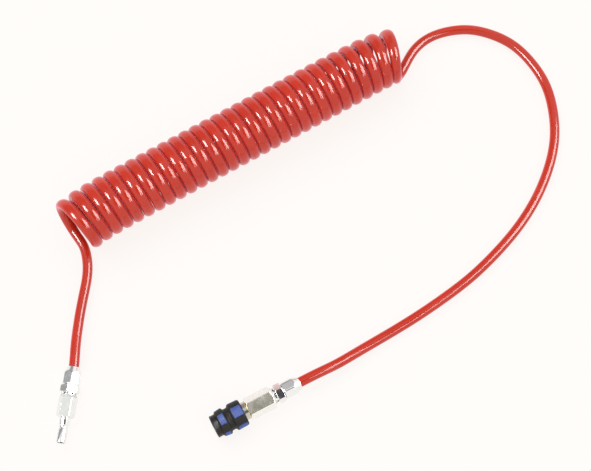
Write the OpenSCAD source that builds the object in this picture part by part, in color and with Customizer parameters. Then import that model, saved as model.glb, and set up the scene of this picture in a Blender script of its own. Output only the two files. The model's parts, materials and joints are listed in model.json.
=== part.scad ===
// Coiled air hose: a spiral polyurethane hose with a quick-connect plug on one tail
// and a sprung quick coupler on the other, lying on a flat surface.

/* [Hose] */
// Outside diameter of the hose
hose_d = 10; // [9.9:0.01:10.05]
// Inside diameter of the hose
hose_bore_d = 6.5; // [6.4:0.1:6.6]
// Outside diameter of the coil of turns
coil_d = 60; // [56:1:60]
// Length of the coil, end to end
coil_length = 384; // [376:1:386]

/* [Hose fittings] */
// Width across flats of each union nut
nut_af = 16; // [15.5:0.1:16.2]
// Width across flats of each hose insert's spanner flange
flange_af = 17; // [16:0.1:17.2]
// Radius of the thread that joins a hose insert to the next piece
joint_thread_r = 6.55; // [6.4:0.01:6.58]

/* [Plug] */
// Width across flats of the plug's hexagon
plug_af = 16; // [15.5:0.1:16.5]
// Radius of the plug's sealing nose
plug_nose_r = 4.75; // [4.6:0.01:4.78]
// Radius of the plug's collar behind the locking groove
plug_collar_r = 5; // [4.9:0.01:5.02]
// Radius of the plug's air passage
plug_bore_r = 3.5; // [3:0.1:3.6]

/* [Coupler] */
// Width across flats of the coupler's rear hexagon
body_af = 20; // [19:0.1:21]
// Radius of the socket that takes a plug
socket_r = 5.1; // [5.05:0.01:5.15]
// Widest radius of the release sleeve's grip
grip_r = 13.7; // [13.4:0.1:13.7]
// Travel of the release sleeve towards the hose
sleeve_travel = 4; // [3:0.1:4]
// Number of coloured inserts around each band of the grip
insert_count = 4; // [3:1:4]
// Arc that each coloured insert covers
insert_arc = 49; // [30:1:60]

/* [Hidden] */
$fn = 64;
ball_count = 4;

// Places in the part's frame: the surface is z = 0
hose_r = hose_d / 2;
coil_centre = [-75, 87, coil_d / 2];
coil_angle = 30;
plug_start = [-232, -147, 9.3];
plug_angle = 263;
coupler_start = [-12, -163, 13.7];
coupler_angle = 208;

// Centre line of the hose from the coil to the plug's union nut
plug_tail_route = [
    [-229, -21, 5], [-225, -33, 5], [-223.5, -49, 5], [-225.5, -68, 5], [-228.5, -88, 5],
    [-230.5, -107, 5.6], [-231.5, -125, 7.5], [-231.6, -136, 8.7], [-232, -147, 9.3]
];
// Centre line of the hose from the coil to the coupler's union nut
coupler_tail_route = [
    [92, 171, 5], [106, 195, 5], [124, 209, 5], [146, 216, 5], [168, 217, 5], [189, 212, 5],
    [210, 201, 5], [230, 180, 5], [244, 154, 5], [250, 126, 5], [250, 94, 5], [243, 64, 5],
    [230, 33, 5], [208, -2, 5], [184, -30, 5], [158, -55, 5], [131, -76, 5], [102, -96, 5],
    [73, -114, 5], [45, -131, 6.6], [24, -144, 9.9], [6, -153.5, 12.6], [-12, -163, 13.7]
];
tail_sides = 12;

// Stations along each fitting's axis, from the mouth of its union nut
nut_cone_end = 6;
nut_end = 18;
flange_start = 18.5;
flange_end = 25.7;
neck_end = 28.4;
joint_face = 30;
joint_thread_end = 39;
grip_length_in_nut = 11.5;
nut_mouth_wall = 0.9;
nut_bore_gap = 0.3;
spigot_start = 1.5;
spigot_lead = 1;
spigot_taper = 0.4;
neck_r = 7.25;
insert_bore_r = 2.4;
washer_r = 8.1;

// Plug stations and its locking groove
plug_hex_end = 49.5;
plug_groove = [57.5, 58.2, 60.8, 61.5];
plug_groove_r = 4.2;
plug_tip = 74.5;
plug_tip_chamfer = [0.5, 0.6];

// Coupler stations
body_end = 57;
barrel_rear = 47;
barrel_collar = [58, 65];
barrel_front = 92;
barrel_r = 8;
collar_r = 9;
chamber_r = 6;
seat_r = 4.4;
seat = [65.1, 67];
nose_bore_r = 4.9;
nose_bore_end = 79;
ball_race_r = 5.3;
socket_start = 84.4;
seal_groove = [72, 74];
seal_groove_r = 6.2;
ball_station = 82;
ball_r = 2;
ball_circle_r = 6.3;
cam_slope = 0.24;
circlip = [88, 89];
circlip_gap = 3;
nipple_seal_r = [5.48, 0.7];
running_gap = 0.05;
chamfer_slope = 0.55;

// Release sleeve and its grip
sleeve_rear_gap = 0.3;
sleeve_rear = body_end + sleeve_travel + sleeve_rear_gap;
sleeve_front = 93.2;
sleeve_shell_r = 10.9;
sleeve_guide = 3.2;
sleeve_shoulder = 75;
nose_collar_start = 87.6;
nose_collar_r = 11.2;
nose_wall = 0.9;
rear_band_end = 72.8;
waist = [74.6, 78.4];
waist_depth = 2.5;
front_band = [80, 86.8];
front_band_taper = 0.8;
insert_floor_r = 12.1;
insert_phase = 184;
rear_insert_span = [62.3, 72.5];
front_insert_span = [80.3, 86.5];

// Springs, as mean radius, wire radius and number of turns
sleeve_spring_size = [8.95, 0.45, 5];
valve_spring_size = [4.4, 0.35, 7];
spring_end_gap = 0.15;

// Valve: stem, head that closes the seat, and the nose that a plug pushes
poppet_stem = [54, 61];
poppet_stem_r = 1.5;
poppet_head_end = 64;
poppet_head_r = 5.5;
poppet_nose_end = 71;
poppet_nose_r = 4;
poppet_cup_r = 2.6;
poppet_cup_start = 66;
poppet_slot_w = 2.6;
valve_seal_r = [4.9, 0.45];
spring_seat = [47, 48.5];
spring_seat_bore_r = 3;

function hex_d(af) = af / cos(30);

// Radius of the grip's front band, which narrows towards the nose
function front_band_r(station) =
    grip_r - front_band_taper * (station - front_band[0]) / (front_band[1] - front_band[0]);

// One ring of a swept tube: points around p, square to direction t
function ring(p, t, r, sides) =
    let (u = cross([0, 0, 1], t) / norm(cross([0, 0, 1], t)), v = cross(t, u) / norm(t))
    [for (k = [0 : sides - 1]) p + r * (cos(360 * k / sides) * u + sin(360 * k / sides) * v)];

// Direction of a path at its point i
function heading(path, i) = path[min(i + 1, len(path) - 1)] - path[max(i - 1, 0)];

// Solid tube of radius r along a path of points
module swept_tube(path, r, sides) {
    n = len(path);
    points = [for (i = [0 : n - 1]) each ring(path[i], heading(path, i), r, sides)];
    walls = [for (i = [0 : n - 2], k = [0 : sides - 1])
        let (a = i * sides + k, b = i * sides + (k + 1) % sides)
        [a, a + sides, b + sides, b]];
    start_cap = [[for (k = [0 : sides - 1]) k]];
    end_cap = [[for (k = [0 : sides - 1]) n * sides - 1 - k]];
    polyhedron(points, concat(walls, start_cap, end_cap));
}

// Compression spring along +Z
module spring(size, start, end) {
    steps = 14;
    mean_r = size[0];
    wire_r = size[1];
    total = size[2] * steps;
    rise = end - start - 2 * wire_r;
    path = [for (i = [0 : total])
        [mean_r * cos(360 * i / steps), mean_r * sin(360 * i / steps),
         start + wire_r + rise * i / total]];
    swept_tube(path, wire_r, 6);
}

// Solid of revolution about Z from [radius, station] points
module revolve(points) {
    rotate_extrude() polygon(points);
}

// Ring between two radii and two stations
module tube(outer, inner, start, end) {
    revolve([[inner, start], [outer, start], [outer, end], [inner, end]]);
}

// Hexagon with its corners turned down to cones at both ends
module chamfered_hex(af, start, end, turn) {
    corner_r = hex_d(af) / 2;
    face_r = af / 2 - 0.2;
    outer_r = corner_r + 1;
    drop = (outer_r - face_r) * chamfer_slope;
    intersection() {
        translate([0, 0, start]) rotate(turn) cylinder(r = corner_r, h = end - start, $fn = 6);
        revolve([[0, start], [face_r, start], [outer_r, start + drop],
                 [outer_r, end - drop], [face_r, end], [0, end]]);
    }
}

// Ring of round section, from its mean radius and section radius
module torus(size, station) {
    translate([0, 0, station]) rotate_extrude() translate([size[0], 0]) circle(size[1], $fn = 24);
}

module at_plug() {
    translate(plug_start) rotate([0, 90, plug_angle]) children();
}

module at_coupler() {
    translate(coupler_start) rotate([0, 90, coupler_angle]) children();
}

// Hose
module hose_coil() {
    color("tomato") translate(coil_centre) rotate([0, 90, coil_angle])
        cylinder(d = coil_d, h = coil_length, center = true, $fn = 96);
}

module hose_tail(route) {
    color("tomato") swept_tube(route, hose_r, tail_sides);
}

// The stretch of hose that the union nut clamps on the insert's spigot
module hose_end() {
    color("tomato") tube(hose_r, hose_bore_d / 2 + 0.02, 0, grip_length_in_nut - 0.1);
}

// Hose fittings, the same at both ends
module union_nut(turn) {
    flat_r = nut_af / 2;
    color("gainsboro") difference() {
        union() {
            chamfered_hex(nut_af, nut_cone_end - 0.5, nut_end, turn);
            revolve([[0, 0], [hose_r + nut_mouth_wall, 0], [flat_r - 0.4, nut_cone_end],
                     [0, nut_cone_end]]);
        }
        translate([0, 0, -1]) cylinder(r = hose_r + nut_bore_gap, h = nut_end);
        translate([0, 0, grip_length_in_nut])
            cylinder(r = joint_thread_r - 0.05, h = nut_end);
    }
}

module hose_insert(turn) {
    spigot_r = hose_bore_d / 2;
    spigot_end = grip_length_in_nut + 0.1;
    head_r = joint_thread_r - 0.1;
    thread_r = joint_thread_r - running_gap;
    color("gainsboro") difference() {
        union() {
            revolve([[0, spigot_start], [spigot_r - spigot_taper, spigot_start],
                     [spigot_r, spigot_start + spigot_lead], [spigot_r, spigot_end],
                     [head_r, spigot_end], [head_r, flange_start], [neck_r, flange_start],
                     [neck_r, neck_end], [thread_r, neck_end], [thread_r, joint_thread_end],
                     [0, joint_thread_end]]);
            chamfered_hex(flange_af, flange_start, flange_end, turn);
        }
        cylinder(r = insert_bore_r, h = joint_thread_end + 1);
    }
}

module sealing_washer() {
    color("burlywood") tube(washer_r, joint_thread_r + running_gap, neck_end, joint_face);
}

// Plug
module plug_body() {
    thread_depth = joint_thread_end + 1;
    color("whitesmoke") difference() {
        union() {
            chamfered_hex(plug_af, joint_face, plug_hex_end, 30);
            revolve([[0, plug_hex_end - 1], [plug_collar_r, plug_hex_end - 1],
                     [plug_collar_r, plug_groove[0]], [plug_groove_r, plug_groove[1]],
                     [plug_groove_r, plug_groove[2]], [plug_nose_r, plug_groove[3]],
                     [plug_nose_r, plug_tip - plug_tip_chamfer[1]],
                     [plug_nose_r - plug_tip_chamfer[0], plug_tip], [0, plug_tip]]);
        }
        translate([0, 0, joint_face - 1])
            cylinder(r = joint_thread_r + running_gap, h = thread_depth - joint_face + 1);
        translate([0, 0, joint_face]) cylinder(r = plug_bore_r, h = plug_tip);
    }
}

// Coupler
module coupler_rear_body() {
    color("silver") difference() {
        chamfered_hex(body_af, joint_face, body_end, 18);
        translate([0, 0, joint_face - 1])
            cylinder(r = joint_thread_r + running_gap, h = joint_thread_end - joint_face + 2);
        translate([0, 0, joint_face]) cylinder(r = chamber_r - 1, h = body_end);
        translate([0, 0, barrel_rear]) cylinder(r = barrel_r + running_gap, h = body_end);
    }
}

module coupler_body_seal() {
    color("goldenrod") tube(collar_r - 0.1, barrel_r + running_gap, body_end, barrel_collar[0]);
}

module coupler_barrel() {
    groove_r = barrel_r - 0.5;
    color("lightgray") difference() {
        union() {
            translate([0, 0, barrel_rear]) cylinder(r = barrel_r, h = barrel_front - barrel_rear);
            translate([0, 0, barrel_collar[0]])
                cylinder(r = collar_r, h = barrel_collar[1] - barrel_collar[0]);
        }
        translate([0, 0, barrel_rear - 1]) cylinder(r = chamber_r, h = seat[0] - barrel_rear + 1);
        translate([0, 0, seat[0] - 1]) cylinder(r = seat_r, h = seat[1] - seat[0] + 2);
        translate([0, 0, seat[1]]) cylinder(r = nose_bore_r, h = nose_bore_end - seat[1]);
        translate([0, 0, nose_bore_end]) cylinder(r = ball_race_r, h = socket_start - nose_bore_end);
        translate([0, 0, socket_start - 1]) cylinder(r = socket_r, h = barrel_front);
        translate([0, 0, seal_groove[0]])
            cylinder(r = seal_groove_r, h = seal_groove[1] - seal_groove[0]);
        tube(barrel_r + 1, groove_r, circlip[0] - running_gap, circlip[1] + running_gap);
        for (k = [0 : ball_count - 1])
            translate([0, 0, ball_station]) rotate([0, 90, 45 + 360 * k / ball_count])
                cylinder(r = ball_r + 0.03, h = barrel_r + 2, $fn = 32);
    }
}

module locking_ball(k) {
    angle = 45 + 360 * k / ball_count;
    color("dimgray") translate([ball_circle_r * cos(angle), ball_circle_r * sin(angle), ball_station])
        sphere(ball_r, $fn = 32);
}

// Sliding shell: rear guide, spring room, cam cone over the balls, nose collar
module release_sleeve() {
    land_r = barrel_r + 0.1;
    cam_r = ball_circle_r + ball_r + 0.15;
    cam_start = ball_station - (cam_r - land_r) / cam_slope;
    cam_end = circlip[0] - 0.1;
    color("black") revolve([
        [collar_r + 0.08, sleeve_rear], [sleeve_shell_r, sleeve_rear],
        [sleeve_shell_r, nose_collar_start], [nose_collar_r, nose_collar_start],
        [nose_collar_r, sleeve_front - 0.8], [nose_collar_r - 0.6, sleeve_front],
        [nose_collar_r - nose_wall, sleeve_front], [nose_collar_r - nose_wall, cam_end],
        [cam_r + cam_slope * (cam_end - ball_station), cam_end], [land_r, cam_start],
        [land_r, sleeve_shoulder], [sleeve_shell_r - 1, sleeve_shoulder],
        [sleeve_shell_r - 1, sleeve_rear + sleeve_guide],
        [collar_r + 0.08, sleeve_rear + sleeve_guide]
    ]);
}

// Outline of the grip's two bands and waist, from the rear rim to the nose
function grip_outline() = [
    [grip_r - 1, sleeve_rear], [grip_r - 0.4, sleeve_rear + 0.8], [grip_r, rear_band_end],
    [grip_r - waist_depth, waist[0]], [grip_r - waist_depth, waist[1]],
    [grip_r, front_band[0]], [front_band_r(front_band[1]), front_band[1]],
    [grip_r - 1.8, nose_collar_start]
];

// Cross sections of the coloured inserts, rear and front
rear_insert = [
    [insert_floor_r, rear_insert_span[0]], [grip_r - 0.3, rear_insert_span[0]],
    [grip_r, rear_insert_span[1]], [insert_floor_r, rear_insert_span[1]]
];
front_insert = [
    [insert_floor_r, front_insert_span[0]],
    [front_band_r(front_insert_span[0]), front_insert_span[0]],
    [front_band_r(front_insert_span[1]), front_insert_span[1]],
    [insert_floor_r, front_insert_span[1]]
];

// Moves an insert's outer edge out, so that its pocket is open to the outside
pocket_clearance = [[0, 0], [1, 0], [1, 0], [0, 0]];

module insert_ring(section) {
    for (k = [0 : insert_count - 1])
        rotate(insert_phase - insert_arc / 2 + 360 * k / insert_count)
            rotate_extrude(angle = insert_arc) polygon(section);
}

module sleeve_grip() {
    color("dimgray") difference() {
        revolve(concat([[sleeve_shell_r, sleeve_rear]], grip_outline(),
                       [[sleeve_shell_r, nose_collar_start]]));
        insert_ring(rear_insert + pocket_clearance);
        insert_ring(front_insert + pocket_clearance);
    }
}

module grip_inserts(section) {
    color("royalblue") insert_ring(section);
}

module sleeve_spring() {
    color("silver")
        spring(sleeve_spring_size, barrel_collar[1] + spring_end_gap, sleeve_shoulder - spring_end_gap);
}

module sleeve_circlip() {
    outer_r = nose_collar_r - 1.1;
    color("gray") difference() {
        tube(outer_r, barrel_r - 0.45, circlip[0], circlip[1]);
        translate([0, -circlip_gap / 2, circlip[0] - 1]) cube([outer_r + 1, circlip_gap, 3]);
    }
}

module nipple_seal() {
    color("black") torus(nipple_seal_r, (seal_groove[0] + seal_groove[1]) / 2);
}

// Valve: the nose passes the seat and is pushed back by a plug's tip
module valve_poppet() {
    color("goldenrod") difference() {
        revolve([[0, poppet_stem[0]], [poppet_stem_r, poppet_stem[0]], [poppet_stem_r, poppet_stem[1]],
                 [poppet_head_r, poppet_stem[1]], [poppet_head_r, poppet_head_end],
                 [poppet_nose_r, poppet_head_end], [poppet_nose_r, poppet_nose_end],
                 [0, poppet_nose_end]]);
        translate([0, 0, poppet_cup_start]) cylinder(r = poppet_cup_r, h = poppet_nose_end);
        for (turn = [0, 90])
            translate([0, 0, poppet_cup_start + 2]) rotate(turn)
                cube([3 * poppet_nose_r, poppet_slot_w, 4], center = true);
    }
}

module valve_seal() {
    color("black") torus(valve_seal_r, poppet_head_end + 0.5);
}

module valve_spring() {
    color("silver")
        spring(valve_spring_size, spring_seat[1] + spring_end_gap, poppet_stem[1] - spring_end_gap);
}

module valve_spring_seat() {
    color("goldenrod")
        tube(chamber_r - running_gap, spring_seat_bore_r, spring_seat[0], spring_seat[1]);
}

hose_coil();
hose_tail(plug_tail_route);  // hose_tail_plug_side
hose_tail(coupler_tail_route);  // hose_tail_coupler_side
at_plug() hose_end();  // hose_end_plug_side
at_coupler() hose_end();  // hose_end_coupler_side
at_plug() union_nut(-9);  // plug_union_nut
at_plug() hose_insert(8);  // plug_hose_insert
at_plug() sealing_washer();  // plug_sealing_washer
at_plug() plug_body();
at_coupler() union_nut(40);  // coupler_union_nut
at_coupler() hose_insert(12);  // coupler_hose_insert
at_coupler() sealing_washer();  // coupler_sealing_washer
at_coupler() coupler_rear_body();
at_coupler() coupler_body_seal();
at_coupler() coupler_barrel();
at_coupler() locking_ball(0);  // locking_ball_1
at_coupler() locking_ball(1);  // locking_ball_2
at_coupler() locking_ball(2);  // locking_ball_3
at_coupler() locking_ball(3);  // locking_ball_4
at_coupler() release_sleeve();
at_coupler() sleeve_grip();
at_coupler() grip_inserts(rear_insert);  // grip_inserts_rear
at_coupler() grip_inserts(front_insert);  // grip_inserts_front
at_coupler() sleeve_spring();
at_coupler() sleeve_circlip();
at_coupler() nipple_seal();
at_coupler() valve_poppet();
at_coupler() valve_seal();
at_coupler() valve_spring();
at_coupler() valve_spring_seat();
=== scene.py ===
"""Looks of the coiled air hose: spiral hose, plug and quick coupler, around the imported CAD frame."""

import json
import math

import bpy
import numpy as np
from mathutils import Matrix, Vector


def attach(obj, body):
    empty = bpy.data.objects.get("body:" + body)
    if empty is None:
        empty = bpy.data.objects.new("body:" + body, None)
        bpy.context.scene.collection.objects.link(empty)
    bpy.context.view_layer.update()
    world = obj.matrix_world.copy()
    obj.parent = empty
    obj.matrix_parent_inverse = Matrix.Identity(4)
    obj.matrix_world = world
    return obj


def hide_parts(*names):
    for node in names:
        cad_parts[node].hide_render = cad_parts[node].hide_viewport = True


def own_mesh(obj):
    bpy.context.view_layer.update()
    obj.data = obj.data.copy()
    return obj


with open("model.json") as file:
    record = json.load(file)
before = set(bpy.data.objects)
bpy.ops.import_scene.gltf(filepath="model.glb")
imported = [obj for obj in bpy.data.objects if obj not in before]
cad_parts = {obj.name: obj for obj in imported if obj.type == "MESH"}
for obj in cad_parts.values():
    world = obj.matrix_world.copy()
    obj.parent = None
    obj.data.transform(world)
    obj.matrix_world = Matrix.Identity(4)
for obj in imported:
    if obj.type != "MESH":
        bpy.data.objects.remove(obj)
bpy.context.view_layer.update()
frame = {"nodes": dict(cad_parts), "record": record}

MM = 0.001
ROOT = "hose_and_fittings"
TURN = 2 * math.pi


# ---------------------------------------------------------------- places taken from the frame

def fitting_place(mount_name, station):
    """Frame of a fitting: Z runs outward from the mouth of its union nut, X points down, in mm."""
    mount = next(m for m in frame["record"]["mounts"] if m["name"] == mount_name)
    axis = Vector(mount["axis"]).normalized()
    down = Vector((0, 0, -1))
    side = axis.cross(down)
    start = Vector(mount["pos_m"]) - axis * station * MM
    turned = Matrix((down, side, axis)).transposed().to_4x4()
    return Matrix.Translation(start) @ turned @ Matrix.Scale(MM, 4)


# The mounts' stations, in mm from the mouth of the union nut
PLUG_NOSE_AT = 67.7
COUPLER_SOCKET_AT = 88.2
PLUG = fitting_place("plug_nose", PLUG_NOSE_AT)
COUPLER = fitting_place("coupler_socket", COUPLER_SOCKET_AT)


class Reach:
    """Stations and radii that a CAD node spans in its fitting's frame, in mm."""

    def __init__(self, node, place):
        """Measures the node in the frame of the fitting at place."""
        inverse = place.inverted()
        points = [inverse @ v.co for v in frame["nodes"][node].data.vertices]
        radii = [math.hypot(p.x, p.y) for p in points]
        self.start = min(p.z for p in points)
        self.end = max(p.z for p in points)
        self.outer = max(radii)
        self.inner = min(radii)


# ---------------------------------------------------------------- mesh building

def new_piece(name, points, faces, body, nodes):
    """A smooth-shaded mesh piece from points in metres, riding on a body and standing for CAD nodes."""
    mesh = bpy.data.meshes.new(name)
    mesh.from_pydata([tuple(p) for p in points], [], faces)
    mesh.validate()
    mesh.shade_smooth()
    piece = bpy.data.objects.new(name, mesh)
    bpy.context.scene.collection.objects.link(piece)
    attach(piece, body)
    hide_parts(*nodes)
    return piece


def soft_min(a, b, round_over):
    """Smaller of a and b, with the corner between them rounded."""
    share = min(1.0, max(0.0, 0.5 + 0.5 * (b - a) / round_over))
    return b + (a - b) * share - round_over * share * (1 - share)


def hex_radius(angle, flats, corner_round):
    """Radius of a hexagon with rounded corners, at an angle from one of them."""
    from_flat = math.remainder(angle - math.pi / 6, math.pi / 3)
    near = flats / 2 / math.cos(from_flat)
    far = flats / 2 / math.cos(math.pi / 3 - abs(from_flat))
    return soft_min(near, far, corner_round)


HEX_ANGLES = [-30, -29.2, -28, -26, -24, -21, *range(-18, 19, 3), 21, 24, 26, 28, 29.2]


def hex_steps(turn):
    """Angles round a hexagon, closer together near its corners."""
    return [math.radians(turn + 30 + 60 * side + a) for side in range(6) for a in HEX_ANGLES]


def round_steps(count):
    """Even angles round a circle."""
    return [TURN * k / count for k in range(count)]


def lathe(name, place, outline, steps, body, nodes, radius=None):
    """Closed solid of revolution from a loop of (radius, station). radius(r, station, angle) reshapes it."""
    points = []
    for r, station in outline:
        for angle in steps:
            shaped = radius(r, station, angle) if radius else r
            points.append(place @ Vector((shaped * math.cos(angle), shaped * math.sin(angle), station)))
    count, rows = len(steps), len(outline)
    faces = []
    for i in range(rows):
        for k in range(count):
            a, b = i * count + k, i * count + (k + 1) % count
            c, d = (i + 1) % rows * count + (k + 1) % count, (i + 1) % rows * count + k
            faces.append((a, b, c, d))
    return new_piece(name, points, faces, body, nodes)


def arc(centre_r, centre_s, radius, start_deg, end_deg, steps):
    """Points of a round stretch of an outline, measured from the +radius direction towards +station."""
    found = []
    for k in range(steps + 1):
        a = math.radians(start_deg + (end_deg - start_deg) * k / steps)
        found.append((centre_r + radius * math.cos(a), centre_s + radius * math.sin(a)))
    return found


def spread(start, end, count):
    """Evenly spaced values from start to end, count steps apart."""
    return [start + (end - start) * k / count for k in range(count + 1)]


def frames_along(path):
    """Two directions square to the path at each point, turned as little as possible on the way."""
    points = np.array(path, float)
    tangents = np.gradient(points, axis=0)
    tangents /= np.linalg.norm(tangents, axis=1)[:, None]
    u = np.cross([0.0, 0.0, 1.0], tangents[0])
    sides = []
    for t in tangents:
        u = u - (u @ t) * t
        u /= np.linalg.norm(u)
        sides.append((u, np.cross(t, u)))
    return points, sides


def tube_rings(path, radius, sides, stretch=None):
    """Rings of points round a path. stretch(i, offset) reshapes ring i's offsets from the path."""
    points, sides_at = frames_along(path)
    found = []
    for i, (p, (u, v)) in enumerate(zip(points, sides_at)):
        for k in range(sides):
            a = TURN * k / sides
            offset = radius * (math.cos(a) * u + math.sin(a) * v)
            found.append(p + (stretch(i, offset) if stretch else offset))
    return found


def ring_faces(rows, sides, first=0):
    """Faces between neighbouring rings of a tube whose points start at index first."""
    return [
        (first + i * sides + k, first + i * sides + (k + 1) % sides,
         first + (i + 1) * sides + (k + 1) % sides, first + (i + 1) * sides + k)
        for i in range(rows - 1)
        for k in range(sides)
    ]


# ---------------------------------------------------------------- the hose's line

# Lengths in mm, and turns counted from the plug's end. The oval's two sizes are shares of the diameter
HOSE_R = 5.0
HOSE_BORE_R = 3.27
HOSE_IN_NUT = 11.4
OVAL_WIDE = 1.19
OVAL_FLAT = 0.90
OVAL_FADE = 0.35
COIL_R = 25.5
COIL_AXIS_Z = 30.0
COIL_ANGLE = math.radians(30)
COIL_SIDE = 113.0
TURNS = 29.75
MIDDLE_TURN = 15
MIDDLE_AT = -24.4
PITCH = 12.1
STEPS_PER_TURN = 36
RING_STEP = 2.6
HOSE_SIDES = 24
BORE_RINGS = 6
LENGTH_PER_V = 100

# How the end turns differ from the others: (size in mm, at which turn, turns in which it fades)
PLUG_OPENING = (1.25, 1.5, 1.38)
COUPLER_OPENING = (9.0, 27.7, 1.3)
PLUG_LEAN = (3.0, 0.5, 1.5)
COUPLER_LEAN = (11.0, 30, 2.9)
PLUG_SLUMP = (5.0, 0, 1.3)
COUPLER_SLUMP = (5.4, 29.25, 1.1)

# Points of the free stretches, in mm, close to the CAD tails
PLUG_TAIL = [
    (-229, -21, 5), (-225, -33, 5), (-223.5, -49, 5), (-225.5, -68, 5), (-228.5, -88, 5),
    (-230.5, -107, 5.6), (-231.5, -125, 7.5), (-231.6, -136, 8.7), (-232, -147, 9.3),
]
COIL_DROP = [(88, 154, 20), (89, 158, 12.4), (90.8, 162.3, 7.6), (93, 166, 5.6)]
COUPLER_TAIL = [
    (95, 169.5, 5), (108, 193, 5), (125, 208, 5), (146, 215.5, 5), (168, 217, 5), (189, 212, 5),
    (210, 201, 5), (230, 180, 5), (244, 154, 5), (250, 126, 5), (250, 94, 5), (243, 64, 5),
    (230, 33, 5), (208, -2, 5), (184, -30, 5), (158, -55, 5), (131, -76, 5), (102, -96, 5),
    (73, -114, 5), (45, -131, 6.6), (24, -144, 9.9), (6, -153.5, 12.6), (-12, -163, 13.7),
]


def near_plug(turns, effect):
    """Size of an effect that grows towards the plug's end of the coil."""
    size, at, fade = effect
    return size * math.exp((at - turns) / fade)


def near_coupler(turns, effect):
    """Size of an effect that grows towards the coupler's end of the coil."""
    size, at, fade = effect
    return size * math.exp((turns - at) / fade)


def along_coil(turns):
    """Distance along the coil's axis: an even pitch, with the turns opening out at both ends."""
    size, at, fade = COUPLER_OPENING
    opened = size / (1 + math.exp((at - turns) / fade)) - near_plug(turns, PLUG_OPENING)
    return MIDDLE_AT + PITCH * (turns - MIDDLE_TURN) + opened


def lean(turns):
    """How far the end turns lean over, at the side of a turn."""
    return near_coupler(turns, COUPLER_LEAN) - near_plug(turns, PLUG_LEAN)


def coil_point(turns):
    """Place of the hose's centre in the coil. The end turns lean, and slump towards the near side."""
    angle = TURN * (turns - 0.25)
    a = along_coil(turns) + lean(turns) * math.cos(angle)
    far_side = (1 + math.cos(angle)) / 2
    slump = near_plug(turns, PLUG_SLUMP) + near_coupler(turns, COUPLER_SLUMP) * far_side
    b = COIL_SIDE + COIL_R * math.cos(angle) - slump
    c, s = math.cos(COIL_ANGLE), math.sin(COIL_ANGLE)
    return (c * a - s * b, s * a + c * b, COIL_AXIS_Z + COIL_R * math.sin(angle))


def travelled(points):
    """Distance gone at each of a row of points. Only their first three values are places."""
    return np.concatenate([[0], np.cumsum(np.linalg.norm(np.diff(points[:, :3], axis=0), axis=1))])


def smooth_line(points, step):
    """Natural cubic spline through rows of values, read off at even steps of its length."""
    p = np.array(points, float)
    t = travelled(p)
    h = np.diff(t)
    n = len(p)
    system = np.eye(n)
    right = np.zeros(p.shape)
    for i in range(1, n - 1):
        system[i, i - 1:i + 2] = h[i - 1], 2 * (h[i - 1] + h[i]), h[i]
        right[i] = 6 * ((p[i + 1] - p[i]) / h[i] - (p[i] - p[i - 1]) / h[i - 1])
    bend = np.linalg.solve(system, right)

    def at(x):
        """Values of the spline at distances x along the row."""
        i = np.clip(np.searchsorted(t, x, side="right") - 1, 0, n - 2)
        left, rest = (x - t[i])[:, None], (t[i + 1] - x)[:, None]
        hi = h[i][:, None]
        return (
            (bend[i] * rest**3 + bend[i + 1] * left**3) / (6 * hi)
            + (p[i] / hi - bend[i] * hi / 6) * rest
            + (p[i + 1] / hi - bend[i + 1] * hi / 6) * left
        )

    fine = np.linspace(0, t[-1], 8 * n)
    gone = travelled(at(fine))
    count = round(gone[-1] / step)
    return at(np.interp(np.linspace(0, gone[-1], count + 1), gone, fine))


def hose_line():
    """Centre line from inside the coupler's nut to inside the plug's, in metres, and how oval it is."""
    def in_nut(place):
        """The hose's stretch inside a union nut."""
        return [tuple((place @ Vector((0, 0, s))) / MM) for s in (HOSE_IN_NUT / 2, HOSE_IN_NUT)]

    coil = []
    for k in range(int(TURNS * STEPS_PER_TURN) + 1):
        turns = k / STEPS_PER_TURN
        coil.append((*coil_point(turns), min(1, turns / OVAL_FADE, (TURNS - turns) / OVAL_FADE)))
    before = [(*p, 0) for p in in_nut(PLUG)[::-1] + PLUG_TAIL[::-1]]
    after = [(*p, 0) for p in COIL_DROP + COUPLER_TAIL + in_nut(COUPLER)]
    line = smooth_line((before + coil + after)[::-1], RING_STEP)
    oval = np.clip(line[:, 3], 0, 1)
    resting = HOSE_R * (1 + (OVAL_FLAT - 1) * oval)
    line[:, 2] = np.maximum(line[:, 2], resting)
    return line[:, :3] * MM, oval


def make_hose():
    """One tube from nut to nut, with its bore open for a short way at both ends."""
    path, oval = hose_line()
    coil_axis = np.array([math.cos(COIL_ANGLE), math.sin(COIL_ANGLE), 0])

    def flattened(i, offset):
        """Coiled tube is a little oval: wider along the coil's axis than across it."""
        flat = 1 + (OVAL_FLAT - 1) * oval[i]
        wide = 1 + (OVAL_WIDE - 1) * oval[i]
        return flat * offset + (wide - flat) * (offset @ coil_axis) * coil_axis

    rows = len(path)
    points = tube_rings(path, HOSE_R * MM, HOSE_SIDES, flattened)
    faces = ring_faces(rows, HOSE_SIDES)
    bores = []
    for bore in (path[:BORE_RINGS], path[-BORE_RINGS:]):
        first = len(points)
        points += tube_rings(bore, HOSE_BORE_R * MM, HOSE_SIDES)
        faces += [face[::-1] for face in ring_faces(BORE_RINGS, HOSE_SIDES, first)]
        bores.append(first)
    coupler_bore, plug_bore = bores
    last_outer = (rows - 1) * HOSE_SIDES
    bore_length = (BORE_RINGS - 1) * HOSE_SIDES
    close_end(points, faces, 0, coupler_bore, flip=True)
    close_end(points, faces, last_outer, plug_bore + bore_length, flip=False)
    faces.append([coupler_bore + bore_length + k for k in range(HOSE_SIDES)])
    faces.append([plug_bore + HOSE_SIDES - 1 - k for k in range(HOSE_SIDES)])
    nodes = ["hose_coil", "hose_tail_plug_side", "hose_tail_coupler_side"]
    nodes += ["hose_end_plug_side", "hose_end_coupler_side"]
    hose = new_piece("hose", points, faces, ROOT, nodes)
    add_hose_uv(hose, rows)
    return hose, path


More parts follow.
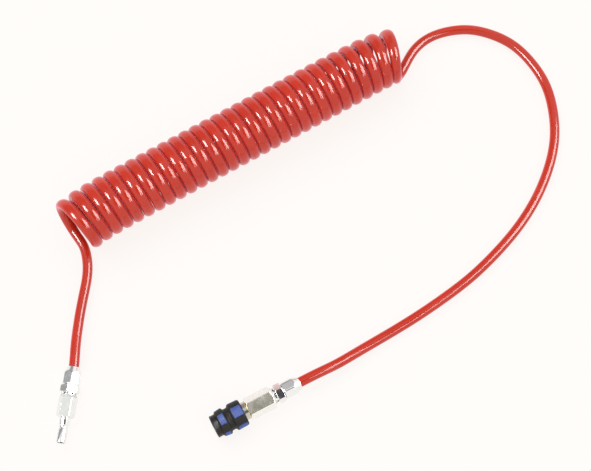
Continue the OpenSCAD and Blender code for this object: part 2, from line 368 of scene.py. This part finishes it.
def close_end(points, faces, outer, inner, flip):
    """Joins an outer ring to an inner one, whose points may start at another angle."""
    gaps = [np.linalg.norm(points[outer] - points[inner + k]) for k in range(HOSE_SIDES)]
    nearest = gaps.index(min(gaps))
    for k in range(HOSE_SIDES):
        a, b = outer + k, outer + (k + 1) % HOSE_SIDES
        c = inner + (nearest + k + 1) % HOSE_SIDES
        d = inner + (nearest + k) % HOSE_SIDES
        faces.append((a, d, c, b) if flip else (a, b, c, d))


def add_hose_uv(hose, rows):
    """U runs once round the hose and V along it. The bores share the V of the last ring."""
    layer = hose.data.uv_layers.new(name="along")
    for polygon in hose.data.polygons:
        corners = [hose.data.loops[i].vertex_index for i in polygon.loop_indices]
        rings = [v // HOSE_SIDES for v in corners]
        slots = [v % HOSE_SIDES for v in corners]
        wraps = max(slots) - min(slots) > HOSE_SIDES / 2
        for i, ring, slot in zip(polygon.loop_indices, rings, slots):
            across = slot + HOSE_SIDES if wraps and slot < HOSE_SIDES / 2 else slot
            layer.data[i].uv = (across / HOSE_SIDES, min(ring, rows) * RING_STEP / LENGTH_PER_V)


hose, hose_path = make_hose()

# ---------------------------------------------------------------- camera

camera = bpy.data.objects.new("camera", bpy.data.cameras.new("camera"))
camera.data.lens = 90
camera.data.sensor_width = 36
camera.data.clip_end = 50
camera.location = (-0.016, -0.4697, 1.41795)
camera.rotation_euler = (math.radians(18), 0, 0)
bpy.context.scene.collection.objects.link(camera)
bpy.context.scene.camera = camera

# ---------------------------------------------------------------- materials

class Shader:
    """A material's node tree, with short calls for the nodes that these looks are made of."""

    def __init__(self, name, colour, roughness, metallic=0.0):
        self.material = bpy.data.materials.new(name)
        self.material.use_nodes = True
        self.nodes = self.material.node_tree.nodes
        self.links = self.material.node_tree.links
        self.surface = self.nodes["Principled BSDF"]
        self.surface.inputs["Base Color"].default_value = (*colour, 1)
        self.surface.inputs["Roughness"].default_value = roughness
        self.surface.inputs["Metallic"].default_value = metallic
        self.material.diffuse_color = (*colour, 1)

    def add(self, kind, **values):
        """A new node. Each value goes to the input of that name, or else to the property."""
        node = self.nodes.new(kind)
        for name, value in values.items():
            if name in node.inputs.keys():
                node.inputs[name].default_value = value
            else:
                setattr(node, name, value)
        return node

    def place(self, output="Object", scale=(1, 1, 1)):
        """The coordinates of an output, such as Object in metres or UV, stretched by scale."""
        source = self.add("ShaderNodeTexCoord")
        mapping = self.add("ShaderNodeMapping")
        mapping.inputs["Scale"].default_value = scale
        self.links.new(source.outputs[output], mapping.inputs["Vector"])
        return mapping.outputs["Vector"]

    def station(self, place):
        """Distance along a fitting's axis, as a vector for a noise."""
        source = self.add("ShaderNodeTexCoord")
        dot = self.add("ShaderNodeVectorMath", operation="DOT_PRODUCT")
        dot.inputs[1].default_value = place.to_3x3().normalized().col[2]
        self.links.new(source.outputs["Object"], dot.inputs[0])
        made = self.add("ShaderNodeCombineXYZ")
        self.links.new(dot.outputs["Value"], made.inputs["X"])
        return made.outputs["Vector"]

    def noise(self, vector, scale, detail=3.0):
        """Noise between 0 and 1, mostly near its middle."""
        node = self.add("ShaderNodeTexNoise", Scale=scale, Detail=detail)
        self.links.new(vector, node.inputs["Vector"])
        return node.outputs["Fac"]

    def ramp(self, value, low, high):
        """Maps a texture's value from its middle range to low..high."""
        node = self.add("ShaderNodeMapRange")
        node.inputs["From Min"].default_value = 0.3
        node.inputs["From Max"].default_value = 0.7
        node.inputs["To Min"].default_value = low
        node.inputs["To Max"].default_value = high
        self.links.new(value, node.inputs["Value"])
        return node.outputs["Result"]

    def vary_colour(self, value, low, high):
        """Lets the base colour follow a texture's value between two colours."""
        node = self.add("ShaderNodeMix", data_type="RGBA")
        node.inputs[6].default_value = (*low, 1)
        node.inputs[7].default_value = (*high, 1)
        self.links.new(self.ramp(value, 0, 1), node.inputs["Factor"])
        self.links.new(node.outputs[2], self.surface.inputs["Base Color"])

    def vary_roughness(self, value, low, high):
        """Lets the roughness follow a texture's value between two values."""
        self.links.new(self.ramp(value, low, high), self.surface.inputs["Roughness"])

    def bump(self, heights):
        """Bump from a list of (height output, strength, depth in metres), one on the other."""
        normal = None
        for height, strength, depth in heights:
            node = self.add("ShaderNodeBump", Strength=strength, Distance=depth)
            self.links.new(height, node.inputs["Height"])
            if normal is not None:
                self.links.new(normal, node.inputs["Normal"])
            normal = node.outputs["Normal"]
        self.links.new(normal, self.surface.inputs["Normal"])


def hose_look():
    """Glossy polyurethane: slight clouding in the colour, fine die lines along it, a few dull patches."""
    look = Shader("red_polyurethane", (0.61, 0.030, 0.011), 0.12)
    look.surface.inputs["IOR"].default_value = 1.5
    look.surface.inputs["Specular IOR Level"].default_value = 0.47
    look.surface.inputs["Sheen Weight"].default_value = 1.0
    look.surface.inputs["Sheen Roughness"].default_value = 0.3
    look.surface.inputs["Sheen Tint"].default_value = (1.0, 0.42, 0.62, 1)
    cloud = look.noise(look.place(), 45)
    look.vary_colour(cloud, (0.57, 0.028, 0.009), (0.63, 0.035, 0.013))
    scuffs = look.noise(look.place(), 160, 5.0)
    look.vary_roughness(scuffs, 0.09, 0.14)
    die_lines = look.noise(look.place("UV", (60, 0.6, 1)), 1.0, 2.0)
    ripples = look.noise(look.place(), 70, 1.0)
    look.bump([(die_lines, 0.012, 0.0001), (ripples, 0.004, 0.0004)])
    return look.material


def metal_look(name, place, low, high, roughness, line_depth):
    """Plated metal: turning marks round the axis, a softly uneven plate and small colour changes."""
    look = Shader(name, low, roughness, metallic=1.0)
    turning = look.noise(look.station(place), 9000, 2.0)
    uneven = look.noise(look.place(), 420, 3.0)
    look.vary_colour(uneven, low, high)
    smears = look.noise(look.place(), 150, 4.0)
    look.vary_roughness(smears, roughness * 0.85, roughness * 1.25)
    look.bump([(turning, line_depth, 0.00003), (uneven, 0.02, 0.0001)])
    return look.material


def rubber_look(name, low, high, roughness, shine=0.5):
    """Moulded rubber or plastic: fine grain, worn patches of lighter colour."""
    look = Shader(name, low, roughness)
    look.surface.inputs["IOR"].default_value = 1.48
    look.surface.inputs["Specular IOR Level"].default_value = shine
    patches = look.noise(look.place(), 240, 4.0)
    look.vary_colour(patches, low, high)
    look.vary_roughness(look.noise(look.place(), 500), roughness * 0.85, min(1, roughness * 1.2))
    grains = look.noise(look.place(), 2600, 2.0)
    look.bump([(grains, 0.35, 0.00006), (patches, 0.1, 0.0002)])
    return look.material


def paint(piece, material):
    """Gives a piece, or a CAD node by name, one material."""
    target = frame["nodes"][piece] if isinstance(piece, str) else piece
    target.data.materials.clear()
    target.data.materials.append(material)


def paint_inside(piece, place, radius, material, span=(-math.inf, math.inf)):
    """Second material for the faces near a fitting's axis, within a radius and a span of stations."""
    piece.data.materials.append(material)
    inverse = place.inverted()
    for polygon in piece.data.polygons:
        centre = inverse @ polygon.center
        if math.hypot(centre.x, centre.y) < radius and span[0] < centre.z < span[1]:
            polygon.material_index = 1


NICKEL = ((0.84, 0.84, 0.83), (0.92, 0.92, 0.91))
nickel_plug = metal_look("nickel_plug_side", PLUG, *NICKEL, 0.13, 0.25)
nickel_coupler = metal_look("nickel_coupler_side", COUPLER, *NICKEL, 0.13, 0.25)
satin_nickel = metal_look("satin_nickel", COUPLER, (0.88, 0.87, 0.83), (0.95, 0.94, 0.91), 0.2, 0.35)
barrel_steel = metal_look("barrel_steel", COUPLER, (0.52, 0.52, 0.51), (0.62, 0.62, 0.61), 0.22, 0.5)
spring_steel = metal_look("spring_steel", COUPLER, (0.55, 0.55, 0.54), (0.66, 0.66, 0.64), 0.2, 0.2)
brass = metal_look("brass", COUPLER, (0.72, 0.53, 0.22), (0.86, 0.68, 0.34), 0.22, 0.4)
ball_steel = metal_look("ball_steel", COUPLER, (0.60, 0.60, 0.60), (0.66, 0.66, 0.66), 0.08, 0.05)
black_shell = rubber_look("black_shell", (0.011, 0.010, 0.009), (0.021, 0.019, 0.016), 0.34, shine=0.3)
black_rubber = rubber_look("black_rubber", (0.010, 0.010, 0.009), (0.019, 0.017, 0.015), 0.5, shine=0.3)
blue_rubber = rubber_look("blue_rubber", (0.036, 0.080, 0.35), (0.055, 0.112, 0.42), 0.5)
seal_rubber = rubber_look("seal_rubber", (0.010, 0.010, 0.010), (0.018, 0.018, 0.018), 0.35)
nylon = rubber_look("washer_nylon", (0.62, 0.62, 0.60), (0.72, 0.72, 0.70), 0.5)
# Near-black metal that paints shade into hollows: the plug's air passage and the dimples in the inserts'
# necks
painted_shade_dark = metal_look("painted_shade_dark", COUPLER, (0.03, 0.029, 0.027), (0.045, 0.043, 0.04), 0.55, 0.4)
paint(hose, hose_look())

# ---------------------------------------------------------------- metal fittings

# Lengths in mm. EDGE is how far the cut of a hexagon is rounded into the cones
THREAD_PITCH = 1.0
THREAD_DEPTH = 0.35
THREAD_FADE = 0.6
EDGE = 0.12
HEX_CONE_STEPS = 10
HEX_CONE_SLOPE = 0.55
INSERT_FLATS = 17.0
PLUG_FLATS = 16.0
REAR_BODY_FLATS = 20.0


def thread_radius(start, end):
    """Reshapes the stretch between two stations into a screw thread."""
    def shaped(r, station, angle):
        if not start <= station <= end:
            return r
        wave = math.fabs(2 * ((station / THREAD_PITCH - angle / TURN) % 1) - 1)
        fade = min(1, (station - start) / THREAD_FADE, (end - station) / THREAD_FADE)
        return r - THREAD_DEPTH * wave * fade
    return shaped


def hexed(flats, turn, start, end, corner_round=0.35):
    """Cuts the stretch between two stations down to a hexagon."""
    def shaped(r, station, angle):
        if not start <= station <= end:
            return r
        return soft_min(r, hex_radius(angle - math.radians(turn), flats, corner_round), EDGE)
    return shaped


def dimpled(station_at, count, size, depth):
    """Sinks a row of round dimples into the surface at one station."""
    def shaped(r, station, angle):
        across = math.remainder(angle, TURN / count) * r
        inside = 1 - math.hypot(across, station - station_at) / size
        if inside <= 0:
            return r
        return r - depth * min(1, inside / 0.4)
    return shaped


def hex_profile(corner_r, flats, start, end):
    """The cones that turn a hexagon's corners down at its start and at its end."""
    low = flats / 2 - 0.2
    high = corner_r + 0.6
    radii = spread(low, high, HEX_CONE_STEPS)
    stations = spread(start, start + (high - low) * HEX_CONE_SLOPE, HEX_CONE_STEPS)
    rise = list(zip(radii, stations))
    fall = [(r, end - (s - start)) for r, s in rise[::-1]]
    return rise, fall


def hex_outline(flats, start, end):
    """Outline of a whole hexagon between two stations, to be cut to its flats by hexed()."""
    rise, fall = hex_profile(flats / 2 / math.cos(math.pi / 6), flats, start, end)
    return rise + fall


def make_union_nut(name, place, turn, material):
    """Hexagon that runs into a cone at the hose, with a rounded mouth."""
    reach = Reach(name, place)
    flats = reach.outer * 2 * math.cos(math.pi / 6)
    mouth_r, lip = reach.inner + 0.6, 0.25
    cone_start, cone_end, cone_steps = 0.3, 8.5, 14
    thread_r, step = 6.5, HOSE_IN_NUT + 0.1
    cone_radii = spread(mouth_r, reach.outer + 0.4, cone_steps)
    cone = list(zip(cone_radii, spread(cone_start, cone_end, cone_steps)))
    _, hexagon = hex_profile(reach.outer, flats, 0, reach.end)
    outline = (
        [(reach.inner, lip)] + arc(reach.inner + lip, lip, lip, 180, 270, 3)
        + arc(mouth_r - lip, lip, lip, 270, 340, 3) + cone + hexagon
        + [(thread_r + 0.3, reach.end)] + [(thread_r, s) for s in spread(reach.end - 0.4, step, 40)]
        + [(reach.inner, step)]
    )
    shape = hexed(flats, turn, 0.5, reach.end, corner_round=1.2)
    piece = lathe(name + "_turned", place, outline, hex_steps(turn), ROOT, [name], shape)
    paint(piece, material)


def make_hose_insert(name, place, turn, material):
    """Barbed spigot, head, spanner flange, neck and thread."""
    reach = Reach(name, place)
    bore_r, spigot_r, head_r, neck_r, thread_r = reach.inner, 3.25, 6.4, 7.25, 6.5
    tip, barb_pitch = 1.8, 2.2
    flange = (18.5, 25.7)
    neck = (25.75, 28.15)
    thread = (28.7, reach.end - 0.7)
    barbs = []
    for k in range(4):
        s = 2.6 + barb_pitch * k
        barbs += [(spigot_r - 0.35, s), (spigot_r, s + 1.8), (spigot_r - 0.1, s + 1.9)]
    outline = (
        [(bore_r, tip)] + arc(bore_r + 0.3, tip, 0.3, 180, 300, 3)
        + [(spigot_r - 0.5, tip + 0.2)] + barbs
        + [(spigot_r, 11.5), (head_r - 0.3, 11.62), (head_r, 11.9)]
        + [(head_r, flange[0] - 0.05)] + hex_outline(INSERT_FLATS, *flange)
        + [(neck_r, s) for s in spread(neck[0], neck[1] - 0.05, 16)]
        + arc(neck_r - 0.25, neck[1], 0.25, 0, 80, 3) + [(thread_r, 28.5)]
        + [(thread_r, s) for s in spread(*thread, 56)]
        + [(thread_r - 0.5, reach.end), (bore_r + 0.3, reach.end), (bore_r, reach.end - 0.3)]
    )
    hexagon = hexed(INSERT_FLATS, turn, *flange)
    threaded = thread_radius(*thread)
    dimples = dimpled(station_at=26.95, count=10, size=1.12, depth=0.7)

    def shape(r, station, angle):
        """The three cuts touch different stations, so each leaves the others alone."""
        return dimples(threaded(hexagon(r, station, angle), station, angle), station, angle)

    piece = lathe(name + "_turned", place, outline, hex_steps(turn), ROOT, [name], shape)
    paint(piece, material)
    # The neck's dimples get the near-black metal: painted shade in the dimples
    paint_inside(piece, place, neck_r - 0.2, painted_shade_dark, span=neck)


def make_plug_body():
    """Spanner hexagon, collar, locking groove and the sealing nose with its open air passage."""
    name, turn = "plug_body", 30
    reach = Reach(name, PLUG)
    collar_r, groove_r, nose_r, bore_r, thread_r = 5.0, 4.2, 4.75, 3.5, 6.6
    hex_end, thread_end, tip = 49.5, 39.8, reach.end
    collar_end, groove, nose_start = 57.2, (58.35, 60.7), 61.65
    outline = (
        [(thread_r + 0.4, reach.start)] + hex_outline(PLUG_FLATS, reach.start, hex_end)
        + [(collar_r + 0.35, hex_end)] + arc(collar_r + 0.35, hex_end + 0.35, 0.35, 270, 180, 3)
        + [(collar_r, collar_end), (collar_r - 0.12, collar_end + 0.25)]
        + [(groove_r + 0.1, groove[0] - 0.15), (groove_r, groove[0])]
        + [(groove_r, groove[1]), (groove_r + 0.1, groove[1] + 0.15)]
        + [(nose_r - 0.1, nose_start - 0.2), (nose_r, nose_start), (nose_r, tip - 0.7)]
        + arc(nose_r - 0.55, tip - 0.55, 0.55, 10, 85, 4)
        + arc(bore_r + 0.3, tip - 0.3, 0.3, 90, 180, 4)
        + [(bore_r, thread_end), (thread_r - 0.4, thread_end)]
        + [(thread_r, s) for s in spread(thread_end - 0.4, reach.start + 0.4, 54)]
    )
    shape = hexed(PLUG_FLATS, turn, reach.start, hex_end)
    piece = lathe(name + "_turned", PLUG, outline, hex_steps(turn), ROOT, [name], shape)
    paint(piece, nickel_plug)
    # The air passage gets the near-black metal: painted shade inside the bore
    paint_inside(piece, PLUG, bore_r + 0.05, painted_shade_dark)


def make_rear_body():
    """Long spanner hexagon of the coupler, in satin plate."""
    name, turn = "coupler_rear_body", 18
    reach = Reach(name, COUPLER)
    barrel_r = Reach("coupler_barrel", COUPLER).outer - 0.95
    passage_r, thread_r = 5.0, 6.6
    thread_end, barrel_seat = 40, 47
    outline = (
        [(thread_r + 0.4, reach.start)] + hex_outline(REAR_BODY_FLATS, reach.start, reach.end)
        + [(barrel_r + 0.3, reach.end), (barrel_r, reach.end - 0.3)]
        + [(barrel_r, barrel_seat), (passage_r, barrel_seat - 0.1)]
        + [(passage_r, thread_end + 0.1), (thread_r - 0.3, thread_end)]
        + [(thread_r, s) for s in spread(thread_end - 0.4, reach.start + 0.4, 54)]
    )
    shape = hexed(REAR_BODY_FLATS, turn, reach.start, reach.end)
    piece = lathe(name + "_turned", COUPLER, outline, hex_steps(turn), ROOT, [name], shape)
    paint(piece, satin_nickel)


make_union_nut("plug_union_nut", PLUG, -9, nickel_plug)
make_union_nut("coupler_union_nut", COUPLER, 40, nickel_coupler)
make_hose_insert("plug_hose_insert", PLUG, 8, nickel_plug)
make_hose_insert("coupler_hose_insert", COUPLER, 12, nickel_coupler)
make_plug_body()
make_rear_body()

# ---------------------------------------------------------------- release sleeve, grip and inserts

# Lengths in mm, arcs in degrees. Windows are where the coloured inserts sit, spans of stations
GRIP_STEPS = 216
WINDOWS = 4
WINDOW_ARC = 49.0
WINDOW_PHASE = 184.0
WINDOW_FLOOR = 12.1
WINDOW_CORNER = 1.0
REAR_WINDOW = (62.3, 72.5)
FRONT_WINDOW = (80.3, 86.5)
SHELL_R = 10.9
GUIDE_R = 9.08
GRIP_SPAN = (61.3, 87.6)
# Stations of the grip and how far its surface is below its widest radius there
GRIP_LINE = [
    (61.3, 1.3), (61.5, 0.85), (62.1, 0.45), (63.4, 0.28), (72.4, 0.0),
    (72.9, 0.12), (73.3, 0.5), (74.3, 2.1), (74.9, 2.46), (75.6, 2.5),
    (77.4, 2.5), (78.1, 2.44), (78.7, 2.0), (79.5, 0.6), (79.9, 0.15),
    (80.4, 0.04), (86.4, 0.76), (86.8, 0.95), (87.35, 1.5), (87.6, 2.0),
]
grip_reach = Reach("sleeve_grip", COUPLER)
sleeve_reach = Reach("release_sleeve", COUPLER)


def grip_surface(station):
    """Outside radius of the grip: two bands with rounded rims and a waist between them."""
    stations, drops = zip(*GRIP_LINE)
    return grip_reach.outer - float(np.interp(station, stations, drops))


def window_distance(station, angle, span):
    """How far inside an insert's window a point of the grip is, in mm, negative outside."""
    centre = math.radians(WINDOW_PHASE)
    off = abs(math.remainder(angle - centre, TURN / WINDOWS)) * grip_reach.outer
    across = math.radians(WINDOW_ARC / 2) * grip_reach.outer - off
    along = min(station - span[0], span[1] - station)
    if across < WINDOW_CORNER and along < WINDOW_CORNER:
        return WINDOW_CORNER - math.hypot(WINDOW_CORNER - across, WINDOW_CORNER - along)
    return min(across, along)


def make_grip():
    """Rubber grip over the sleeve, sunk where the coloured inserts sit."""
    wall = 0.18

    def sunk(r, station, angle):
        """Surface of the grip, down to the windows' floor inside them."""
        if r < WINDOW_FLOOR:
            return r
        deepest = max(window_distance(station, angle, span) for span in (REAR_WINDOW, FRONT_WINDOW))
        share = min(1, max(0, deepest / wall))
        return r + (WINDOW_FLOOR - r) * share

    rims = [s + d for s in (*REAR_WINDOW, *FRONT_WINDOW) for d in (-0.2, -0.12, -0.02, 0.05, 0.12, 0.2)]
    stations = sorted(set(spread(*GRIP_SPAN, 60) + rims))
    outer = [(grip_surface(s), s) for s in stations]
    outline = [(SHELL_R, GRIP_SPAN[0])] + outer + [(SHELL_R, GRIP_SPAN[1])]
    piece = lathe("sleeve_grip_moulded", COUPLER, outline, round_steps(GRIP_STEPS), "sleeve",
                  ["sleeve_grip"], sunk)
    paint(piece, black_rubber)


def make_inserts(name, span, ribs):
    """Coloured pads in one band of the grip, crowned a little, with raised ribs round them."""
    points, faces = [], []
    across_count, along_count = 26, 44
    side_gap, end_gap, edge_round, rib_height = 0.1, 0.08, 0.5, 0.12
    half = math.radians(WINDOW_ARC / 2) - side_gap / grip_reach.outer
    low, high = span[0] + end_gap, span[1] - end_gap
    rib_pitch = (high - low) / ribs

    def height(station, angle_off):
        """Radius of the pad's top at an angle from its middle."""
        inside = window_distance(station, math.radians(WINDOW_PHASE) + angle_off, span)
        edge = min(1.0, max(0.0, inside / edge_round))
        rounded = math.sqrt(1 - (1 - edge) ** 2)
        rib = 0.5 - 0.5 * math.cos(TURN * (station - low) / rib_pitch)
        top = grip_surface(station) - 0.02 + rib_height * rib * rounded
        return WINDOW_FLOOR + 0.02 + (top - WINDOW_FLOOR) * (0.25 + 0.75 * rounded)

    def corner_in(station, angle_off):
        """Keeps the pad's outline inside the window's round corners."""
        reach_across = half * grip_reach.outer
        along = min(station - low, high - station)
        if along >= WINDOW_CORNER:
            return angle_off
        cut = WINDOW_CORNER - math.sqrt(max(0.0, WINDOW_CORNER**2 - (WINDOW_CORNER - along) ** 2))
        return angle_off * (reach_across - cut) / reach_across

    for window in range(WINDOWS):
        centre = math.radians(WINDOW_PHASE) + TURN * window / WINDOWS
        first = len(points)
        for layer in (0, 1):
            for i in range(along_count + 1):
                station = low + (high - low) * i / along_count
                for k in range(across_count + 1):
                    off = corner_in(station, half * (2 * k / across_count - 1))
                    r = height(station, off) if layer else WINDOW_FLOOR + 0.01
                    a = centre + off
                    points.append(COUPLER @ Vector((r * math.cos(a), r * math.sin(a), station)))
        row = across_count + 1
        top = first + row * (along_count + 1)
        for i in range(along_count):
            for k in range(across_count):
                a = first + i * row + k
                b = top + i * row + k
                faces.append((a, a + row, a + row + 1, a + 1))
                faces.append((b, b + 1, b + row + 1, b + row))
        border = list(range(row))
        border += [i * row + across_count for i in range(1, along_count + 1)]
        border += [along_count * row + k for k in range(across_count - 1, -1, -1)]
        border += [i * row for i in range(along_count - 1, 0, -1)]
        for i, a in enumerate(border):
            b = border[(i + 1) % len(border)]
            faces.append((first + a, first + b, top + b, top + a))
    piece = new_piece(name + "_moulded", points, faces, "sleeve", [name])
    paint(piece, blue_rubber)


def make_sleeve():
    """Sliding shell with its cam cone inside and a ribbed nose collar."""
    rear, front = sleeve_reach.start, sleeve_reach.end
    collar_r = sleeve_reach.outer
    open_r, cam_r, land_r, spring_r = collar_r - 0.9, 9.86, 8.1, SHELL_R - 1
    collar, cam = 87.6, (80.55, 87.9)
    spring_room = (rear + 3.2, 75)
    groove_depth, groove_pitch = 0.22, 0.95
    ribs = [(collar_r, collar + 0.6)]
    for k in range(4):
        s = collar + 0.9 + groove_pitch * k
        ribs += [(collar_r, s), (collar_r - groove_depth, s + 0.2)]
        ribs += [(collar_r - groove_depth, s + 0.5), (collar_r, s + 0.7)]
    outline = (
        [(GUIDE_R, rear + 0.2), (GUIDE_R + 0.2, rear), (SHELL_R - 0.2, rear), (SHELL_R, rear + 0.2)]
        + [(SHELL_R, collar - 0.05), (collar_r - 0.3, collar)]
        + [(collar_r - 0.08, collar + 0.1), (collar_r, collar + 0.35)] + ribs
        + arc(collar_r - 0.5, front - 0.55, 0.55, 15, 90, 4) + [(open_r + 0.25, front - 0.05)]
        + [(open_r, front - 0.35), (open_r, cam[1] + 0.1), (cam_r, cam[1]), (land_r, cam[0])]
        + [(land_r, spring_room[1]), (spring_r, spring_room[1])]
        + [(spring_r, spring_room[0]), (GUIDE_R, spring_room[0])]
    )
    piece = lathe("release_sleeve_turned", COUPLER, outline, round_steps(96), "sleeve",
                  ["release_sleeve"])
    paint(piece, black_shell)


make_grip()
make_inserts("grip_inserts_rear", REAR_WINDOW, 5)
make_inserts("grip_inserts_front", FRONT_WINDOW, 3)
make_sleeve()

# ---------------------------------------------------------------- springs

def make_spring(name, body, start, end, mean_r, wire_r, turns):
    """Compression spring with closed end turns."""
    steps, sides = 28, 10
    total = int(turns * steps)
    rise = end - start - 2 * wire_r
    closed, flatness = 0.75 / turns, 0.25
    end_rise = flatness * closed

    def climb(share):
        """Even coils in the middle and almost flat ones at the ends."""
        if share < closed:
            return flatness * share
        if share > 1 - closed:
            return 1 - flatness * (1 - share)
        return end_rise + (share - closed) / (1 - 2 * closed) * (1 - 2 * end_rise)

    path = []
    for k in range(total + 1):
        a = TURN * k / steps
        station = start + wire_r + rise * climb(k / total)
        path.append(COUPLER @ Vector((mean_r * math.cos(a), mean_r * math.sin(a), station)))
    points = tube_rings(path, wire_r * MM, sides)
    faces = ring_faces(total + 1, sides)
    faces.append(list(range(sides))[::-1])
    faces.append([total * sides + k for k in range(sides)])
    piece = new_piece(name + "_wound", points, faces, body, [name])
    paint(piece, spring_steel)
    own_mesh(piece)


make_spring("sleeve_spring", "spring_ring",
            start=65.15, end=74.85, mean_r=8.95, wire_r=0.45, turns=5)
make_spring("valve_spring", ROOT,
            start=48.65, end=60.85, mean_r=4.4, wire_r=0.35, turns=7)

# ---------------------------------------------------------------- CAD nodes that keep their shape

KEPT = {
    "plug_sealing_washer": nylon,
    "coupler_sealing_washer": nylon,
    "coupler_body_seal": brass,
    "coupler_barrel": barrel_steel,
    "sleeve_circlip": spring_steel,
    "nipple_seal": seal_rubber,
    "valve_poppet": brass,
    "valve_seal": seal_rubber,
    "valve_spring_seat": brass,
    "locking_ball_1": ball_steel,
    "locking_ball_2": ball_steel,
    "locking_ball_3": ball_steel,
    "locking_ball_4": ball_steel,
}
for node_name, material in KEPT.items():
    paint(node_name, material)

# ---------------------------------------------------------------- floor and light

def make_floor():
    """Pale matt floor with a glow of its own, so the object's shadow on it stays faint."""
    mesh = bpy.data.meshes.new("floor")
    half = 4.0
    corners = [(-half, -half, 0), (half, -half, 0), (half, half, 0), (-half, half, 0)]
    mesh.from_pydata(corners, [], [(0, 1, 2, 3)])
    floor = bpy.data.objects.new("floor", mesh)
    bpy.context.scene.collection.objects.link(floor)
    look = Shader("floor", (0.13, 0.13, 0.13), 0.9)
    look.surface.inputs["Specular IOR Level"].default_value = 0.0
    look.surface.inputs["Emission Color"].default_value = (1, 0.972, 0.945, 1)
    look.surface.inputs["Emission Strength"].default_value = 0.872
    mesh.materials.append(look.material)


def make_world():
    """White room for the camera and for soft light. Reflections also see darker patches in it."""
    world = bpy.data.worlds.new("room")
    bpy.context.scene.world = world
    world.use_nodes = True
    nodes, links = world.node_tree.nodes, world.node_tree.links
    background = nodes["Background"]
    direction = nodes.new("ShaderNodeTexCoord").outputs["Generated"]
    # Each patch: direction of its middle, cosines of its faint and full edges, colour
    patches = [
        ((0.27, -0.33, 0.90), 0.90, 0.955, (0.27, 0.25, 0.18)),
        ((0.31, -0.40, 0.86), 0.955, 0.98, (0.05, 0.05, 0.05)),
        ((-0.30, 0.75, 0.60), 0.86, 0.95, (0.36, 0.34, 0.36)),
        ((-0.90, 0.32, 0.40), 0.84, 0.94, (0.34, 0.35, 0.36)),
        ((-0.15, 0.18, 0.97), 0.965, 0.985, (0.84, 0.86, 0.83)),
    ]

    def mix(share, low, high):
        """Output that goes from low to high with share. Each is a colour or another output."""
        node = nodes.new("ShaderNodeMix")
        node.data_type = "RGBA"
        for socket, value in ((node.inputs[6], low), (node.inputs[7], high)):
            if isinstance(value, tuple):
                socket.default_value = (*value, 1)
            else:
                links.new(value, socket)
        links.new(share, node.inputs["Factor"])
        return node.outputs[2]

    colour = (1, 1, 0.99)
    for centre, edge, full, shade in patches:
        dot = nodes.new("ShaderNodeVectorMath")
        dot.operation = "DOT_PRODUCT"
        dot.inputs[1].default_value = Vector(centre).normalized()
        links.new(direction, dot.inputs[0])
        share = nodes.new("ShaderNodeMapRange")
        share.inputs["From Min"].default_value = edge
        share.inputs["From Max"].default_value = full
        links.new(dot.outputs["Value"], share.inputs["Value"])
        colour = mix(share.outputs["Result"], colour, shade)
    ray = nodes.new("ShaderNodeLightPath").outputs
    plain = mix(ray["Is Glossy Ray"], (0.88, 0.875, 0.865), colour)
    shown = mix(ray["Is Camera Ray"], plain, (1, 0.99, 0.975))
    links.new(shown, background.inputs["Color"])


def make_sun():
    """Soft light from the upper left, which gives the faint shadow to the lower right."""
    data = bpy.data.lights.new("sun", "SUN")
    data.energy = 0.6
    data.angle = math.radians(40)
    sun = bpy.data.objects.new("sun", data)
    towards = Vector((-0.42, 0.42, 0.80))
    sun.rotation_euler = towards.to_track_quat("Z", "Y").to_euler()
    sun.visible_glossy = False
    bpy.context.scene.collection.objects.link(sun)


def make_softbox(name, direction, angle, radiance, receivers=()):
    """Square softbox, as wide as an angle in degrees, which only reflections see, on receivers if given."""
    distance = 2.2
    towards = Vector(direction).normalized()
    data = bpy.data.lights.new(name, "AREA")
    data.shape = "SQUARE"
    data.size = 2 * distance * math.tan(math.radians(angle / 2))
    data.energy = radiance * data.size**2 * math.pi
    light = bpy.data.objects.new(name, data)
    light.location = towards * distance
    light.rotation_euler = towards.to_track_quat("Z", "Y").to_euler()
    light.visible_diffuse = False
    light.visible_camera = False
    bpy.context.scene.collection.objects.link(light)
    if receivers:
        lit = bpy.data.collections.new(name + "_receivers")
        for piece in receivers:
            lit.objects.link(piece)
        light.light_linking.receiver_collection = lit


make_floor()
make_world()
make_sun()
make_softbox("softbox_left", (-0.66, -0.14, 0.74), 23, 27)
make_softbox("softbox_right", (0.68, 0.08, 0.73), 36, 11.5)
make_softbox("softbox_front", (0.52, -0.42, 0.74), 12, 9, receivers=[hose])

scene = bpy.context.scene
scene.view_settings.view_transform = "Standard"
scene.view_settings.look = "None"
